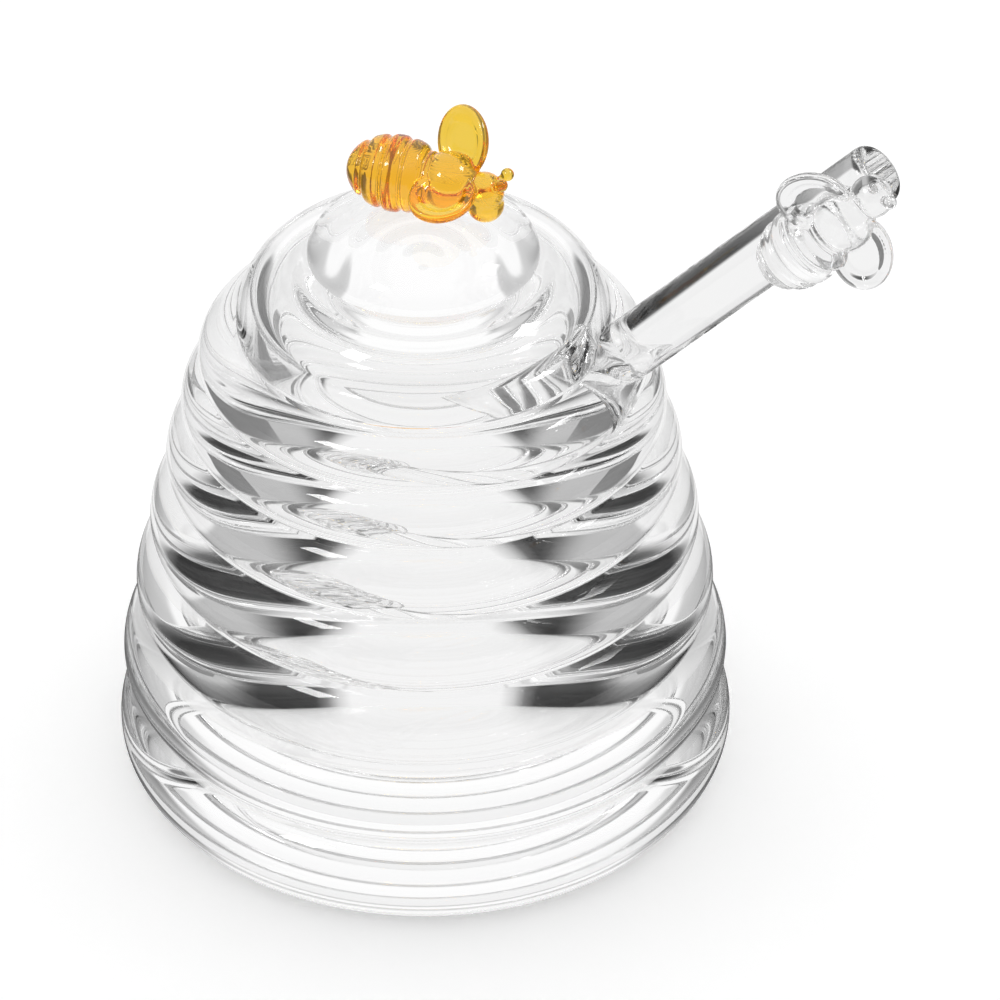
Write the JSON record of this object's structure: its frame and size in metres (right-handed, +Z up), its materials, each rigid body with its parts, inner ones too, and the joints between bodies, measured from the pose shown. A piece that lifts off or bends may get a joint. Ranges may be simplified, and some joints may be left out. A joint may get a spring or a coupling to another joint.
{
  "type": "honey pot",
  "caption": "Clear ringed beehive honey pot with a lift-off lid, a bee on its knob, and a grooved dipper leaning out through a notch.",
  "frame": {"origin": "centre of the flat foot, on the table", "axes": "+Z up along the pot's axis, +X towards the side where the dipper leans out"},
  "size_m": [0.122, 0.0964, 0.1243],
  "materials": {
    "clear_acrylic": "polished",
    "amber_acrylic": "polished"
  },
  "bodies": {
    "pot": {"pot": "clear_acrylic"},
    "lid": {"lid": "clear_acrylic", "lid_bee": "amber_acrylic"},
    "dipper": {"dipper_rod": "clear_acrylic", "dipper_head": "clear_acrylic", "dipper_bee": "clear_acrylic"}
  },
  "joints": [
    {"name": "lid_lift", "type": "slide", "parent": "pot", "child": "lid", "axis": [0, 0, 1], "range_m": [0, 0.06]},
    {"name": "dipper_slide", "type": "slide", "parent": "pot", "child": "dipper", "axis": [0.6896, 0, 0.7242], "range_m": [0, 0.036]}
  ]
}
